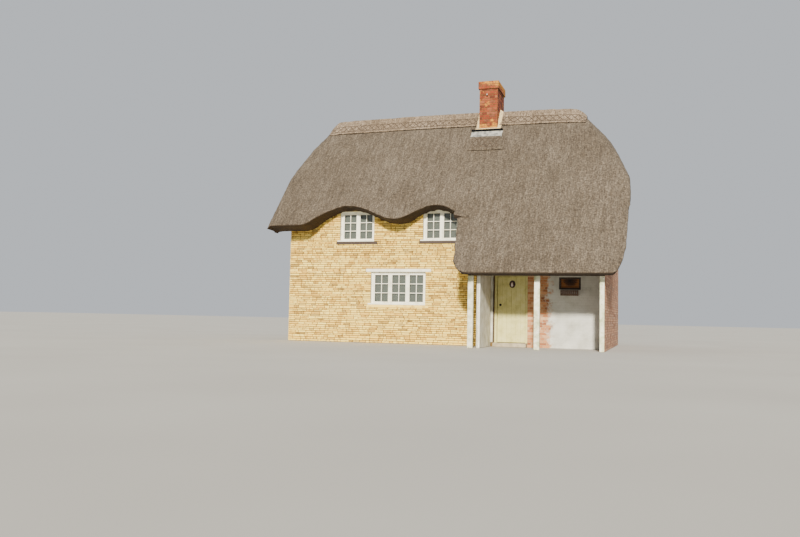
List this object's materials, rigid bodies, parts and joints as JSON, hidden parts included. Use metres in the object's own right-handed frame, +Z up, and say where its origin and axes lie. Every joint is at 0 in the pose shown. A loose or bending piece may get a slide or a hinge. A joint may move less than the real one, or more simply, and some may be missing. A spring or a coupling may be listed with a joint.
{
  "type": "thatched cottage",
  "caption": "Two-storey stone cottage with a thatched roof swept over the upper windows, a verandah under a long front slope and a brick chimney.",
  "frame": {"origin": "middle of the base of the whole cottage at ground level", "axes": "+X along the front wall to the right as one faces it, +Y from the front to the back, +Z up"},
  "size_m": [11.17, 8.5416, 8.717],
  "materials": {
    "limestone": "rough rubble",
    "brick": "rough",
    "painted_stone": "matt paint",
    "thatch": "weathered straw",
    "ridge_thatch": "weathered straw",
    "lead": "dull",
    "white_paint": "satin paint",
    "dark_timber": "matt",
    "grey_timber": "weathered",
    "cream_paint": "matt paint",
    "door_paint": "satin paint",
    "glass": "clear",
    "iron": "black",
    "floor_boards": "worn"
  },
  "bodies": {
    "cottage": {"thatch_front": "thatch", "thatch_back": "thatch", "ridge_cap_left": "ridge_thatch", "ridge_cap_right": "ridge_thatch", "chimney_thatch_pad": "ridge_thatch", "chimney_lead_apron": "lead", "chimney_stack": "brick", "chimney_cap": "brick", "ground_floor": "floor_boards", "upper_floor": "floor_boards", "front_wall_left": "limestone", "front_wall_right": "painted_stone", "front_wall_over_door": "painted_stone", "back_wall": "limestone", "left_gable_wall": "limestone", "right_gable_wall": "brick", "upper_left_window_frame": "white_paint", "upper_left_window_glass": "glass", "upper_left_window_sill": "dark_timber", "upper_right_window_frame": "white_paint", "upper_right_window_glass": "glass", "upper_right_window_sill": "dark_timber", "lower_window_frame": "white_paint", "lower_window_glass": "glass", "lower_window_sill": "limestone", "lower_window_lintel": "white_paint", "back_upper_left_window": "white_paint", "back_upper_right_window": "white_paint", "back_lower_left_window": "white_paint", "back_lower_right_window": "white_paint", "left_gable_upper_window": "white_paint", "left_gable_lower_window": "white_paint", "right_gable_window": "white_paint", "door_frame": "door_paint", "door_step": "limestone", "hatch_frame": "dark_timber", "hatch_panel": "floor_boards", "wall_trough": "grey_timber", "verandah_post_frame": "cream_paint", "verandah_left_boards": "grey_timber", "verandah_right_end_wall": "brick"},
    "door": {"door_leaf": "door_paint", "door_knob": "iron"}
  },
  "joints": [
    {"name": "door_hinge", "type": "hinge", "parent": "cottage", "child": "door", "pos_m": [2.561, -1.8188, 1.1], "axis": [0, 0, 1], "range_deg": [-85, 0]}
  ]
}
